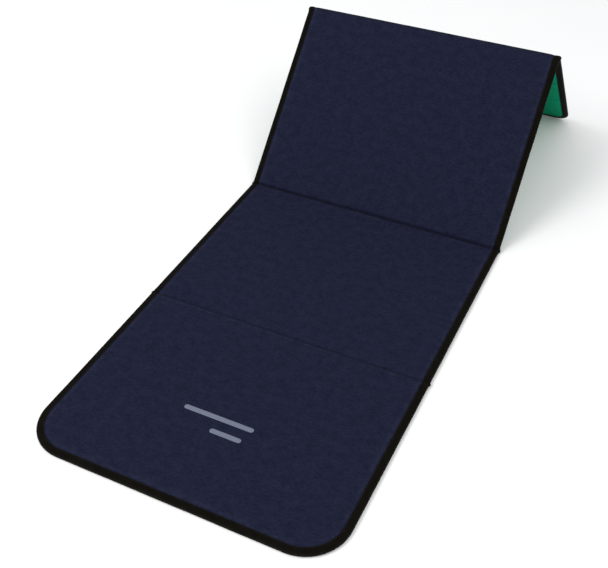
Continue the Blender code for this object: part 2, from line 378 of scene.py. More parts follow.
# Plan of a panel: an inner patch and bands that follow the outline
def outline_stations(radius, side_steps, corner_steps, end_steps):
    """Round a free end from its fold strip: points and outward normals, as x and distance from the fold."""
    x, y = HALF_WIDTH - radius, FREE_LENGTH - radius

    def corner(centre, angles):
        directions = [(math.cos(angle), math.sin(angle)) for angle in angles]
        return [(centre + radius * dx, y + radius * dy, dx, dy) for dx, dy in directions]

    side = np.linspace(FOLD_MARGIN, y, side_steps + 1)
    angles = np.linspace(0, math.pi / 2, corner_steps + 1)[1:]
    stations = [(HALF_WIDTH, s, 1.0, 0.0) for s in side] + corner(x, angles)
    stations += [(px, FREE_LENGTH, 0.0, 1.0) for px in np.linspace(x, -x, end_steps + 1)[1:]]
    stations += corner(-x, angles + math.pi / 2) + [(-HALF_WIDTH, s, -1.0, 0.0) for s in side[::-1][1:]]
    stations = np.array(stations)
    return stations[:, :2], stations[:, 2:]


def plan_columns():
    """The x of each column across a straight part of the mat, from right to left."""
    bands = HALF_WIDTH - np.array(BAND_INSETS)
    inner = np.linspace(bands[-1], -bands[-1], INNER_COLUMNS + 1)
    return np.concatenate([bands[:-1], inner, -bands[:-1][::-1]])


def panel_plan(number):
    """x, f, faces and the border rows' vertices of a panel, up to its fold strips."""
    if number in (2, 3):
        low, high = FOLD_F[number - 1] + FOLD_MARGIN, FOLD_F[number] - FOLD_MARGIN
        rows = np.linspace(low, high, round((high - low) / CELL) + 1)
        x, f = np.meshgrid(plan_columns(), rows)
        return x.ravel(), f.ravel(), grid_faces(*x.shape)[:, ::-1], end_rows(x.shape[1], x.size)
    radius, corner_steps = CORNER_RADIUS[number], CORNER_STEPS[number]
    side_steps = round((FREE_LENGTH - radius - FOLD_MARGIN) / CELL)
    points, normals = outline_stations(radius, side_steps, corner_steps, INNER_COLUMNS - corner_steps)
    stations, bands = len(points), len(BAND_INSETS)
    band_points = np.concatenate([points - inset * normals for inset in BAND_INSETS])
    # the patch inside the bands blends its four sides, and its far corners lie halfway round the outline's
    inner = points - BAND_INSETS[-1] * normals
    up, across = side_steps + corner_steps // 2, INNER_COLUMNS
    right, end, left = inner[:up + 1], inner[up:up + across + 1], inner[up + across:][::-1]
    u, v = np.linspace(0, 1, across + 1)[None, :, None], np.linspace(0, 1, up + 1)[:, None, None]
    fold_side = right[0] * (1 - u[0]) + left[0] * u[0]
    patch = (1 - v) * fold_side[None] + v * end[None] + (1 - u) * right[:, None] + u * left[:, None]
    patch -= (1 - u) * (1 - v) * right[0] + u * (1 - v) * left[0] + (1 - u) * v * right[-1] + u * v * left[-1]
    # all its sides but the one at the fold use the last band's own vertices
    index = len(band_points) + np.arange((up + 1) * (across + 1)).reshape(up + 1, across + 1)
    ring = (bands - 1) * stations
    index[:, 0] = ring + np.arange(up + 1)
    index[up, :] = ring + up + np.arange(across + 1)
    index[:, across] = ring + stations - 1 - np.arange(up + 1)
    faces = np.concatenate([grid_faces(bands, stations), index.ravel()[grid_faces(*index.shape)][:, ::-1]])
    used, faces = np.unique(faces, return_inverse=True)
    plan, faces = np.concatenate([band_points, patch.reshape(-1, 2)])[used], faces.reshape(-1, 4)
    border = np.flatnonzero(plan[:, 1] < FOLD_MARGIN + TOUCH)
    if number == 1:
        return plan[:, 0], -plan[:, 1], faces[:, ::-1], border
    return plan[:, 0], FOLD_F[3] + plan[:, 1], faces, border


def turned_normals(face, x, f, turn):
    """The cover's true normals on a panel, so that shading runs on from one piece to the next."""
    step = 0.0004

    def at(px, pf):
        return at_rest(px, pf, surface_height(face, px, pf), turn)

    normal = np.cross(at(x + step, f) - at(x - step, f), at(x, f + step) - at(x, f - step))
    normal /= np.linalg.norm(normal, axis=1, keepdims=True)
    return normal if face == "top" else -normal


EDGE_RUB, EDGE_RUB_PLACE, EDGE_RUB_WIDTH = 0.4, 0.019, 0.004
# rub and a painted highlight on each fold's lips: the front lip's lighter line stands in for light caught on
# its crest
FRONT_LIP_RUB_AND_HIGHLIGHT, BACK_LIP_RUB_AND_HIGHLIGHT = 0.6, 0.1  # in front of a fold, and behind it
LIP_HIGHLIGHT_PLACE, LIP_HIGHLIGHT_WIDTH = 0.0070, 0.0014
# painted shade: how far each crease darkens the cloth's colour
CREASE_SHADE = {1: 0.34, 2: 0.52, 3: 0.35}
CREASE_WIDTH = 0.0036


def wear_and_painted_light_at(x, f, distances=None):
    """Above 0 beside the tape, where the cloth rubs, and on the folds' lips, for rub and a painted highlight;
    below 0 down in the creases, for painted shade.
    """
    rub_and_highlight = EDGE_RUB * bell(edge_distance(x, f) - EDGE_RUB_PLACE, EDGE_RUB_WIDTH)
    crease = 0.0
    for fold, away in (distances or ways_along(f)).items():
        lip = np.where(f < FOLD_F[fold], FRONT_LIP_RUB_AND_HIGHLIGHT, BACK_LIP_RUB_AND_HIGHLIGHT)
        rub_and_highlight = np.maximum(rub_and_highlight, lip * bell(away - LIP_HIGHLIGHT_PLACE, LIP_HIGHLIGHT_WIDTH))
        crease = crease + CREASE_SHADE[fold] * bell(away, CREASE_WIDTH)
    return np.clip(rub_and_highlight - crease, -1, 1)


def cover_piece(name, face, x, f, faces, turn, border, distances, material, replaced):
    """A cover or fold strip: a thin skin whose shading runs on across its border."""
    z = surface_height(face, x, f, distances)
    outer = at_rest(x, f, z, turn)
    inner = at_rest(x, f, z + INWARD[face] * COVER_THICKNESS, turn)
    if face == "under":
        faces = faces[:, ::-1]
    normals = turned_normals(face, x[border], f[border], {k: v[border] for k, v in turn.items()})
    points, all_faces = shell(outer, inner, faces)
    flat = with_zeros(x, cloth_length(face, f, turn))
    # rub, painted highlight and painted crease shade, for the material
    wear = wear_and_painted_light_at(x, f, distances)
    return add_piece(name, points, all_faces, np.tile(flat, (2, 1)), material, replaced,
                     wear=np.tile(wear, 2), normals=(border, normals, len(faces)))


def fold_stations(fold):
    """Across a fold: f, and the share of its bend taken."""
    line, steps = FOLD_F[fold], ARC_ROWS[fold]
    before = [(line - d, 0.0) for d in FOLD_ROWS]
    middle = [(line, i / steps) for i in range(steps + 1)] if steps else [(line, 0.5)]
    after = [(line + d, 1.0) for d in FOLD_ROWS[::-1]]
    return np.array(before + middle + after)


def strip_turn(fold, f, share):
    """The share of each fold's bend that a fold strip's points have taken."""
    turn = full_turn(f)
    if fold in turn:
        turn[fold] = share
    return turn


def way_to_folds(fold, f, share, height):
    """Distances along the cloth from points near one fold to each fold's sewn line."""
    distances = ways_along(f)
    distances[fold] = distances[fold] + np.abs((height - AXIS_Z[fold]) * BEND[fold] * (share - 0.5))
    return distances


def strip_length(face, fold, stations):
    """Length of the cloth across a fold, down into its groove and out again, to a tenth of a millimetre."""
    f, share = stations.T
    x = np.zeros(len(f))
    z = surface_height(face, x, f, way_to_folds(fold, f, share, LEVEL[face]))
    path = at_rest(x, f, z, strip_turn(fold, f, share))
    return round(float(np.linalg.norm(np.diff(path, axis=0), axis=1).sum()), 4)


def blend_over(piece, fold):
    """Bakes a piece's transform into its mesh, where it keeps its rest place."""
    near_turn = panel_turn(fold, 1)
    middle = at_rest(np.zeros(1), FOLD_F[fold], AXIS_Z[fold], near_turn)[0]
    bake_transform(piece)


# Edge tape: a folded C section, given as inset from the edge and height from the mat's middle
TAPE_LIP = ((0.01400, 0.00425), (0.01385, 0.00445), (0.01340, 0.00458), (0.01290, 0.00458),
            (0.01220, 0.00450), (0.01140, 0.00462), (0.01000, 0.00482), (0.00800, 0.00493))
TAPE_LINING = ((0.01400, 0.00392), (0.00900, 0.00418))
TAPE_NOSE = (0.00008, 0.0059, 0.00494, 8)  # inset, reach, height and steps
LINING_NOSE = (0.0007, 0.0043, 0.00426, 4)
TAPE_ROUNDNESS = 2.47  # 2 would be an ellipse
STITCH_INSET = 0.01225
STITCH_PITCH = 0.0042
TAPE_SPACING = STITCH_PITCH / 3  # between sections
TAPE_STITCH_HEIGHT = 0.00446  # from the mat's middle
LIP_START, LIP_REACH = 0.0100, 0.0022  # the lip's share of the section
DENT, DENT_WAVE = 0.00007, 0.00006  # all along the stitches, and at each one
# Unevenness along the tape, as the drift function's size, length, row and seed
NOSE_SWAYS = ((0.00016, 0.07, 3.0, 41), (0.00006, 0.016, 8.0, 43))
LIP_SWAY = (0.00012, 0.006, 2.0, 53)
PLUMP, PLUMPEST = (0.015, 0.045, 12.0, 47), 1.008
CALM_START, CALM_REACH = 0.002, 0.006
# the tape's outer bend is painted lighter, for rub and a painted highlight
TAPE_RUB_AND_HIGHLIGHT_HEIGHT, TAPE_RUB_AND_HIGHLIGHT_POWER = 0.0036, 4
# Where the tape crosses a fold it is pinched thinner, and bulges outwards
PINCH, PINCH_REACH, PINCH_POWER = 0.42, 0.0034, 1.5
BULGE, BULGE_REACH, BULGE_POWER = 0.0030, 0.0052, 1.2
BULGE_LOST, BULGE_INSET = 0.75, 0.0125  # the share of the bulge that is gone at this inset


def tape_nose(inset, reach, height, steps):
    """The round outer bend, from its upper end to the mat's middle."""
    angles = np.linspace(math.pi / 2, 0, steps + 1)
    inwards, upwards = (np.abs(wave(angles)) ** (2 / TAPE_ROUNDNESS) for wave in (np.cos, np.sin))
    return np.stack([inset + reach * (1 - inwards), height * upwards], axis=1)


def tape_section():
    """Insets and heights round the section, from the upper lip over the outside and back along the lining."""
    outside = np.concatenate([TAPE_LIP, tape_nose(*TAPE_NOSE)])
    inside = np.concatenate([TAPE_LINING, tape_nose(*LINING_NOSE)])
    under = [1, -1]
    return np.concatenate([outside, outside[::-1][1:] * under, inside * under, inside[::-1][1:]]).T


def drift(way, size, length, row, seed):
    """Slow noise along a way, as a column."""
    return size * wander(way / length, row, seed)[:, None]


def tape_rings(points, normals, along, calm):
    """Sections along the tape, dented by its stitches. Where calm is 0 they are all alike."""
    inset, height = (values[None, :] for values in tape_section())
    calm = calm[:, None]
    phase = np.cos(2 * math.pi * along / STITCH_PITCH)[:, None]
    lip = smooth((inset - LIP_START) / LIP_REACH)
    plump = np.minimum(1 + calm * drift(along, *PLUMP), PLUMPEST)
    height = height * plump - np.sign(height) * calm * lip * (DENT + DENT_WAVE * phase)
    sway = sum(drift(along, *values) for values in NOSE_SWAYS)
    inset = inset + calm * sway * (1 - lip) + calm * lip * drift(along, *LIP_SWAY)
    x = points[:, :1] - inset * normals[:, :1]
    f = points[:, 1:] - inset * normals[:, 1:]
    return x, f, THICKNESS / 2 + height


def way_along(a, b):
    """Distance along a path, from its start to each point."""
    return np.concatenate([[0], np.cumsum(np.hypot(np.diff(a), np.diff(b)))])


def tape_piece(name, x, f, z, turn, along, replaced):
    """Tape through sections of points. turn and along have a value for each section."""
    rings = at_rest(x, f, z, {fold: values[:, None] for fold, values in turn.items()})
    inset, height = tape_section()
    round_section = way_along(inset, height)
    flat = np.stack(np.broadcast_arrays(round_section, along[:, None], 0.0), axis=-1).reshape(-1, 3)
    # lighter round the outer bend, for rub and a painted highlight
    outer_bend = np.exp(-((np.abs(height) / TAPE_RUB_AND_HIGHLIGHT_HEIGHT) ** TAPE_RUB_AND_HIGHLIGHT_POWER))
    wear = np.broadcast_to(outer_bend, x.shape).ravel()
    return add_piece(name, rings.reshape(-1, 3), tube(*x.shape), flat, TAPE, replaced, wear)


def crossing_piece(fold, side, word, stations):
    """The tape's bend round a fold, at one side of the mat."""
    f, share = stations[:, :1], stations[:, 1:]
    inset, height = (values[None, :] for values in tape_section())
    flat_way, bent = np.abs(f - FOLD_F[fold]), share - 0.5
    arc = (THICKNESS / 2 + height - AXIS_Z[fold]) * BEND[fold]
    edge_arc = abs((THICKNESS / 2 - AXIS_Z[fold]) * BEND[fold])
    pinch = np.exp(-(((flat_way + np.abs(arc * bent)) / PINCH_REACH) ** PINCH_POWER))
    bulge = 1 - (flat_way + edge_arc * np.abs(bent)) / (BULGE_REACH + edge_arc / 2)
    bulge = BULGE * np.maximum(0, bulge) ** BULGE_POWER * (1 - BULGE_LOST * smooth(inset / BULGE_INSET))
    x = side * (HALF_WIDTH - inset + bulge)
    z = THICKNESS / 2 + height * (1 - PINCH * pinch)
    along = stations[:, 0] + (stations[:, 1] - 0.5) * edge_arc
    return tape_piece(f"tape_crossing_{fold}_{word}", x, f, z, strip_turn(fold, *stations.T), along,
                      [f"fold_binding_{fold}_{word}"])


def calm_from(way):
    """0 near a fold strip, which lies at the start of the way, and 1 further along the tape."""
    return smooth((way - CALM_START) / CALM_REACH)


def free_outline(number):
    """Outline of a free end: its points and normals as (x, f), the distance along it, and calm."""
    radius = CORNER_RADIUS[number]
    lengths = (FREE_LENGTH - radius - FOLD_MARGIN, radius * math.pi / 2, 2 * (HALF_WIDTH - radius))
    points, normals = outline_stations(radius, *(round(length / TAPE_SPACING) for length in lengths))
    along = way_along(*points.T)
    calm = calm_from(np.minimum(along, along[-1] - along))
    sign, origin = (-1, 0.0) if number == 1 else (1, FOLD_F[3])
    return points * (1, sign) + (0, origin), normals * (1, sign), along, calm


def side_outline(number, side):
    """The same for one side of a middle panel."""
    low, high = FOLD_F[number - 1] + FOLD_MARGIN, FOLD_F[number] - FOLD_MARGIN
    f = np.linspace(low, high, round((high - low) / TAPE_SPACING) + 1)
    points = np.array([(side * HALF_WIDTH, way) for way in f])
    normals = np.array([(float(side), 0.0)] * len(f))
    return points, normals, f, calm_from(np.minimum(f - low, high - f))


# Stitches: short rounded threads that dip into the cloth at both ends
THREAD_RADIUS = 0.00026
STITCH_RINGS = np.array([-1.0, -0.88, -0.6, 0.0, 0.6, 0.88, 1.0])
STITCH_SIZE = np.array([0.45, 0.85, 1.0, 1.0, 1.0, 0.85, 0.45])
STITCH_SIDES = 6
STITCH_LENGTH = 0.0034
STITCH_SLANT = 0.05
STITCH_SINK, STITCH_SINK_POWER = 0.00034, 3
STITCH_TRIM = 0.002  # a row starts and ends at least this far from a fold strip


def stitches_piece(name, face, centres, tangents, turn, replaced):
    """A row of stitches. centres and tangents are (x, f, z) with the mat laid flat."""
    count = len(centres)
    side = with_zeros(-tangents[:, 1], tangents[:, 0])
    lift = np.array([0, 0, UP[face]])
    slanted = tangents + STITCH_SLANT * side
    reach = (STITCH_LENGTH / 2) * STITCH_RINGS
    sink = STITCH_SINK * np.abs(STITCH_RINGS) ** STITCH_SINK_POWER
    spine = centres[:, None] + reach[None, :, None] * slanted[:, None] - sink[None, :, None] * lift
    angles = 2 * math.pi * np.arange(STITCH_SIDES) / STITCH_SIDES
    around = (np.cos(angles)[None, None, :, None] * side[:, None, None, :]
              + np.sin(angles)[None, None, :, None] * lift) * STITCH_SIZE[None, :, None, None] * THREAD_RADIUS
    points = (spine[:, :, None] + around).reshape(-1, 3)
    per = len(STITCH_RINGS) * STITCH_SIDES
    wide = {k: np.repeat(v, per) for k, v in turn.items()}
    world = at_rest(points[:, 0], points[:, 1], points[:, 2], wide)
    one = tube(len(STITCH_RINGS), STITCH_SIDES)
    faces = [part + i * per for i in range(count) for part in one]
    along = np.tile(np.repeat(reach, STITCH_SIDES), count)
    girth_way = np.tile(angles * THREAD_RADIUS, len(STITCH_RINGS) * count)
    return add_piece(name, world, faces, with_zeros(girth_way, along), THREAD, replaced)


def spaced_along(points, normals, along):
    """Stitch centres along an outline at the stitches' inset, and their tangents."""
    count = int((along[-1] - along[0] - 2 * STITCH_TRIM) / STITCH_PITCH)
    first = (along[0] + along[-1] - (count - 1) * STITCH_PITCH) / 2
    first = math.ceil(first / STITCH_PITCH) * STITCH_PITCH  # in step with the tape's dents
    at = first + STITCH_PITCH * np.arange(count)
    at = at[at < along[-1] - STITCH_TRIM]
    px, pf, nx, nf = (np.interp(at, along, values) for values in (*points.T, *normals.T))
    size = np.hypot(nx, nf)
    nx, nf = nx / size, nf / size
    return with_zeros(px - STITCH_INSET * nx, pf - STITCH_INSET * nf), with_zeros(-nf, nx)


# Foam pads
PAD_GAP = COVER_THICKNESS + 0.0002
PAD_RINGS = ((0.35, 0.94), (0.65, 0.80), (0.85, 0.58), (0.97, 0.30))  # how far out, and the height left there
PAD_INSET, PAD_FOLD_INSET = 0.0022, 0.0016  # the rim's distance from the mat's edge and from a fold's line


def foam_piece(number):
    """A panel's foam pad. Its faces follow the covers, and its edges are pinched towards tape and folds."""
    x, f, faces, _ = panel_plan(number)
    count, turn = len(x), panel_turn(number, len(x))
    z = {face: surface_height(face, x, f) + INWARD[face] * PAD_GAP for face in LEVEL}
    points, all_faces = shell(at_rest(x, f, z["top"], turn), at_rest(x, f, z["under"], turn), faces)
    rim_faces = all_faces[2 * len(faces):]
    rim = np.unique(rim_faces[rim_faces < count])
    place = np.full(2 * count, -1)
    place[rim] = np.arange(len(rim))
    edges = place[rim_faces[:, :2]]
    out_x, out_f = pad_outward(x[rim], f[rim])
    points, rings = [points], [rim]  # from the top cover's border round to the underside's
    for face, shares in (("top", PAD_RINGS), ("under", PAD_RINGS[::-1])):
        for share, squeeze in shares:
            ring_z = THICKNESS / 2 + (z[face][rim] - THICKNESS / 2) * squeeze
            ring_x, ring_f = x[rim] + share * out_x, f[rim] + share * out_f
            points.append(at_rest(ring_x, ring_f, ring_z, panel_turn(number, len(rim))))
            rings.append(2 * count + len(rim) * (len(rings) - 1) + np.arange(len(rim)))
    rings.append(rim + count)
    faces = [all_faces[:2 * len(faces)]]
    faces += [np.concatenate([a[edges], b[edges[:, ::-1]]], axis=1) for a, b in zip(rings, rings[1:])]
    points = np.concatenate(points)
    piece = add_piece(f"foam_pad_{number}", points, np.concatenate(faces), points, FOAM,
                      [f"foam_core_{number}"])
    return piece


def pad_outward(x, f):
    """How far the foam's rim is drawn out beyond the cover's border, as x and f steps."""
    step = 0.0001
    gx = edge_distance(x + step, f) - edge_distance(x - step, f)
    gf = edge_distance(x, f + step) - edge_distance(x, f - step)
    size = np.maximum(np.hypot(gx, gf), 1e-9)  # never 0
    reach = np.where(edge_distance(x, f) < COVER_INSET + TOUCH, COVER_INSET - PAD_INSET, 0)
    lines = np.array(list(FOLD_F.values()))
    nearest = lines[np.argmin(np.abs(f[:, None] - lines), axis=1)]
    near_fold = np.abs(f - nearest) < FOLD_MARGIN + TOUCH
    towards = np.where(near_fold, np.sign(nearest - f) * (FOLD_MARGIN - PAD_FOLD_INSET), 0)
    return -gx / size * reach, -gf / size * reach + towards


# Print
INK_THICKNESS, INK_EDGE_THICKNESS, INK_LIFT = 0.00014, 0.00003, 0.00003
INK_SLOPE = 0.07  # the share of a bar's half height over which the ink thins towards its edge
BAR_ROWS = (-1, -0.93, -0.6, -0.2, 0.2, 0.6, 0.93, 1)
BAR_STEP, BAR_END_STEPS, BAR_END_ANGLE = 0.003, 9, math.radians(86)
BAR_WOBBLE, BAR_WOBBLE_SIZE, BAR_SEED = 0.00008, 0.004, 61


def printed_bar(name, node):
    """A plain bar of ink in its CAD node's place, which follows the cover."""
    low_corner, high_corner = (Vector(corner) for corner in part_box(node))
    centre = (low_corner + high_corner) / 2
    half_length, half_height, _ = (high_corner - low_corner) / 2
    straight = half_length - half_height
    angles = np.linspace(BAR_END_ANGLE, 0, BAR_END_STEPS)
    left = -straight - half_height * np.sin(angles)
    middle = np.linspace(-straight, straight, max(2, round(2 * straight / BAR_STEP)) + 1)[1:-1]
    columns = np.concatenate([left, middle, -left[::-1]])
    end = half_height * np.cos(angles)
    half = np.concatenate([end, np.full(len(middle), half_height), end[::-1]])
    rows, x = np.meshgrid(BAR_ROWS, centre.x + columns)
    f = centre.y - FIRST_AXIS_Y + half[:, None] * rows
    f = f + BAR_WOBBLE * wander(x / BAR_WOBBLE_SIZE, f / BAR_WOBBLE_SIZE, BAR_SEED)
    edge = np.minimum(1 - np.abs(rows), INK_SLOPE) / INK_SLOPE
    low = surface_height("top", x, f) + INK_LIFT
    high = low + INK_EDGE_THICKNESS + (INK_THICKNESS - INK_EDGE_THICKNESS) * edge
    faces = grid_faces(*x.shape)
    x, f, low, high = x.ravel(), f.ravel(), low.ravel(), high.ravel()
    turn = panel_turn(1, len(x))
    points, all_faces = shell(at_rest(x, f, high, turn), at_rest(x, f, low, turn), faces)
    return add_piece(name, points, all_faces, np.tile(with_zeros(x, f), (2, 1)), INK, [node])


# Materials
class Nodes:
    """A material's node tree, with short calls for the nodes used here."""

    def __init__(self, name, roughness, specular, sheen=0.0, sheen_tint=(1, 1, 1)):
        self.material = bpy.data.materials.new(name)
        self.material.use_nodes = True
        self.tree = self.material.node_tree
        self.inputs = self.tree.nodes["Principled BSDF"].inputs
        self.inputs["Metallic"].default_value = 0
        self.inputs["Roughness"].default_value = roughness
        self.inputs["Specular IOR Level"].default_value = specular
        self.inputs["Sheen Weight"].default_value = sheen
        self.inputs["Sheen Roughness"].default_value = 0.5
        self.inputs["Sheen Tint"].default_value = (*sheen_tint, 1)

    def node(self, kind, **values):
        made = self.tree.nodes.new(kind)
        for key, value in values.items():
            setattr(made, key, value)
        return made

    def join(self, value, socket):
        if isinstance(value, bpy.types.NodeSocket):
            self.tree.links.new(value, socket)
        else:
            socket.default_value = value

    def math(self, operation, *values):
        made = self.node("ShaderNodeMath", operation=operation)
        for value, socket in zip(values, made.inputs):
            self.join(value, socket)
        return made.outputs[0]

    def total(self, *parts):
        """The sum of values times their shares, given as pairs."""
        so_far = 0.0
        for value, share in parts:
            so_far = self.math("MULTIPLY_ADD", value, share, so_far)
        return so_far

    def attribute(self, name):
        return self.node("ShaderNodeAttribute", attribute_name=name)

    def cloth_axes(self):
        split = self.node("ShaderNodeSeparateXYZ")
        self.join(self.attribute("flat").outputs["Vector"], split.inputs[0])
        return split.outputs[0], split.outputs[1]

    def texture(self, kind, place, **values):
        made = self.node(f"ShaderNodeTex{kind}")
        for key, value in {"Vector": place, **values}.items():
            self.join(value, made.inputs[key])
        return made.outputs

    def noise(self, axes, scales, detail=2, rough=0.5):
        """Noise with a scale of its own along each of two axes."""
        place = self.node("ShaderNodeCombineXYZ")
        for axis, scale, socket in zip(axes, scales, place.inputs):
            self.join(self.math("MULTIPLY", axis, scale), socket)
        return self.texture("Noise", place.outputs[0], Scale=1, Detail=detail, Roughness=rough)["Fac"]

    def contrast(self, axes, scales, detail=2, rough=0.5, low=0.30):
        """Such noise with its middle, low to 1 - low, spread over 0 to 1."""
        return self.spread(self.noise(axes, scales, detail, rough), low, 1 - low)

    def wave(self, value, period):
        return self.math("SINE", self.math("MULTIPLY", value, 2 * math.pi / period))

    def spread(self, value, low, high, to_low=0.0, to_high=1.0):
        made = self.node("ShaderNodeMapRange", interpolation_type="SMOOTHSTEP")
        for key, number in (("From Min", low), ("From Max", high), ("To Min", to_low), ("To Max", to_high)):
            made.inputs[key].default_value = number
        self.join(value, made.inputs["Value"])
        return made.outputs["Result"]

    def blend(self, share, first, second):
        made = self.node("ShaderNodeMix", data_type="RGBA")
        self.join(share, made.inputs["Factor"])
        for colour, socket in ((first, made.inputs[6]), (second, made.inputs[7])):
            self.join(colour if isinstance(colour, bpy.types.NodeSocket) else (*colour, 1), socket)
        return made.outputs[2]

    def finish(self, colour, roughness, height, distance, strength):
        """The material, with its bumps. Without a roughness it keeps its constant one."""
        self.join(colour, self.inputs["Base Color"])
        if roughness is not None:
            self.join(roughness, self.inputs["Roughness"])
        bump = self.node("ShaderNodeBump")
        bump.inputs["Distance"].default_value = distance
        bump.inputs["Strength"].default_value = strength
        self.join(height, bump.inputs["Height"])
        self.join(bump.outputs["Normal"], self.inputs["Normal"])
        return self.material


def woven_cloth(name, dark, light, worn_and_highlight, thread_period, offset, sheen, sheen_tint):
    """A heathered plain weave: crossing threads, short slubs along x, soft mottling, rub beside the tape,
    lips lightened by rub and a painted highlight, and painted shade in the creases.
    """
    n = Nodes(name, roughness=0.9, specular=0.02, sheen=sheen, sheen_tint=sheen_tint)
    across, along = n.cloth_axes()
    axes = across, n.math("ADD", along, offset)
    slubs = n.contrast(axes, (120, 330), 4, 0.65, 0.32)
    short = n.contrast(axes, (420, 1500))
    upright = n.contrast(axes, (900, 130))
    mottle = n.contrast(axes, (45, 60), 4, 0.6, 0.32)
    weave = n.math("MULTIPLY", *(n.wave(axis, thread_period) for axis in axes))
    mix = n.total((slubs, 0.40), (short, 0.18), (upright, 0.10), (mottle, 0.24), (weave, 0.14))
    colour = n.blend(n.math("ADD", mix, 0.02), dark, light)
    wear = n.attribute("wear").outputs["Fac"]
    # paler where the cloth rubs beside the tape, and on the lips for rub and a painted highlight
    rub_and_highlight = n.math("MULTIPLY", n.spread(wear, 0, 1), n.spread(mottle, 0, 1, 0.15, 0.60))
    colour = n.blend(rub_and_highlight, colour, worn_and_highlight)
    # painted shade: the cloth darkened down in the creases, towards a fifth of its dark tone
    colour = n.blend(n.spread(wear, -1, 0, 0.85, 0.0), colour, tuple(0.2 * part for part in dark))
    height = n.total((short, 0.3), (slubs, 0.45), (weave, 0.35))
    return n.finish(colour, n.spread(slubs, 0, 1, 0.80, 0.95), height, distance=0.00035, strength=0.55)


def ribbed_tape(name, dark, light, worn_and_highlight):
    """Woven tape with fine ribs across its length, lighter along the outer bend, for rub and a painted
    highlight.
    """
    n = Nodes(name, roughness=0.8, specular=0.03, sheen=0.01, sheen_tint=(0.9, 0.85, 0.75))
    axes = n.cloth_axes()
    ribs = n.wave(axes[1], 0.0011)
    fibres = n.noise(axes, (2600, 500))
    patches = n.contrast(axes, (60, 45), 3, 0.6)
    mix = n.total((patches, 0.35), (fibres, 0.35), (ribs, 0.18))
    colour = n.blend(n.math("ADD", mix, 0.05), dark, light)
    # the outer bend lightened, for rub and a painted highlight
    rub_and_highlight = n.math("MULTIPLY", n.attribute("wear").outputs["Fac"], n.spread(patches, 0, 1, 0.35, 0.85))
    height = n.total((fibres, 0.5), (ribs, 0.5))
    roughness = n.spread(fibres, 0.3, 0.7, 0.62, 0.85)
    return n.finish(n.blend(rub_and_highlight, colour, worn_and_highlight), roughness, height, distance=0.00025, strength=0.6)


def twisted_thread(name, dark, light):
    """Sewing thread: plies that wind round it."""
    n = Nodes(name, roughness=0.6, specular=0.15, sheen=0.02)
    around, along = n.cloth_axes()
    plies = n.wave(n.math("ADD", along, n.math("MULTIPLY", around, 0.7)), 0.0006)
    fuzz = n.noise((around, along), (3000, 3000), 1)
    mix = n.total((fuzz, 0.8), (plies, 0.3))
    roughness = n.spread(fuzz, 0.3, 0.7, 0.5, 0.75)
    return n.finish(n.blend(mix, dark, light), roughness, plies, distance=0.0001, strength=0.6)


def open_foam(name, dark, light):
    """Grey foam with small cells."""
    n = Nodes(name, roughness=0.95, specular=0.2)
    place = n.attribute("flat").outputs["Vector"]
    cells = n.texture("Voronoi", place, Scale=900)["Distance"]
    clouds = n.texture("Noise", place, Scale=40)["Fac"]
    mix = n.total((clouds, 0.4), (cells, 0.7))
    return n.finish(n.blend(mix, dark, light), None, cells, distance=0.0004, strength=0.5)


def screen_ink(name, dark, light, cloth):
    """Matt ink that the weave shows through, thinner in spots."""
    n = Nodes(name, roughness=0.55, specular=0.35)
    axes = n.cloth_axes()
    weave = n.math("MULTIPLY", *(n.wave(axis, 0.0013) for axis in axes))
    cover = n.noise(axes, (500, 900), 3, 0.6)
    colour = n.blend(n.spread(cover, 0.3, 0.7), dark, light)
    gaps = n.math("MULTIPLY", n.spread(n.math("MULTIPLY_ADD", weave, 0.12, cover), 0.62, 0.80), 0.55)
    roughness = n.spread(cover, 0.3, 0.7, 0.45, 0.7)
    return n.finish(n.blend(gaps, colour, cloth), roughness, weave, distance=0.0002, strength=0.5)


# the third colour of each cloth is its paler tone for rub and painted highlight
NAVY = woven_cloth("navy_weave", (0.0050, 0.0058, 0.0165), (0.0176, 0.0202, 0.0420), (0.030, 0.034, 0.060),
                   0.0016, 3.0, 0.015, (0.50, 0.58, 1.0))
GREEN = woven_cloth("green_weave", (0.0006, 0.158, 0.074), (0.003, 0.335, 0.172), (0.008, 0.370, 0.200),
                    0.0018, 9.0, 0.02, (0.5, 1.0, 0.8))
# the tape's third colour is its paler tone for rub and painted highlight
TAPE = ribbed_tape("black_tape", (0.0018, 0.0014, 0.0009), (0.0060, 0.0048, 0.0032), (0.0100, 0.0090, 0.0060))
THREAD = twisted_thread("black_thread", (0.006, 0.0055, 0.005), (0.024, 0.022, 0.019))
FOAM = open_foam("grey_foam", (0.16, 0.16, 0.17), (0.42, 0.42, 0.43))
INK = screen_ink("grey_ink", (0.088, 0.103, 0.146), (0.160, 0.180, 0.242), (0.030, 0.034, 0.055))

# Pieces of the panels
COVERS = {
    "top": ("navy_cover", "navy_fold", "top_cover", "fold_cover_top", NAVY, "top_fabric"),
    "under": ("green_cover", "green_fold", "underside_cover", "fold_cover_under", GREEN, "underside_fabric"),
}
SIDES = {1: "right", -1: "left"}

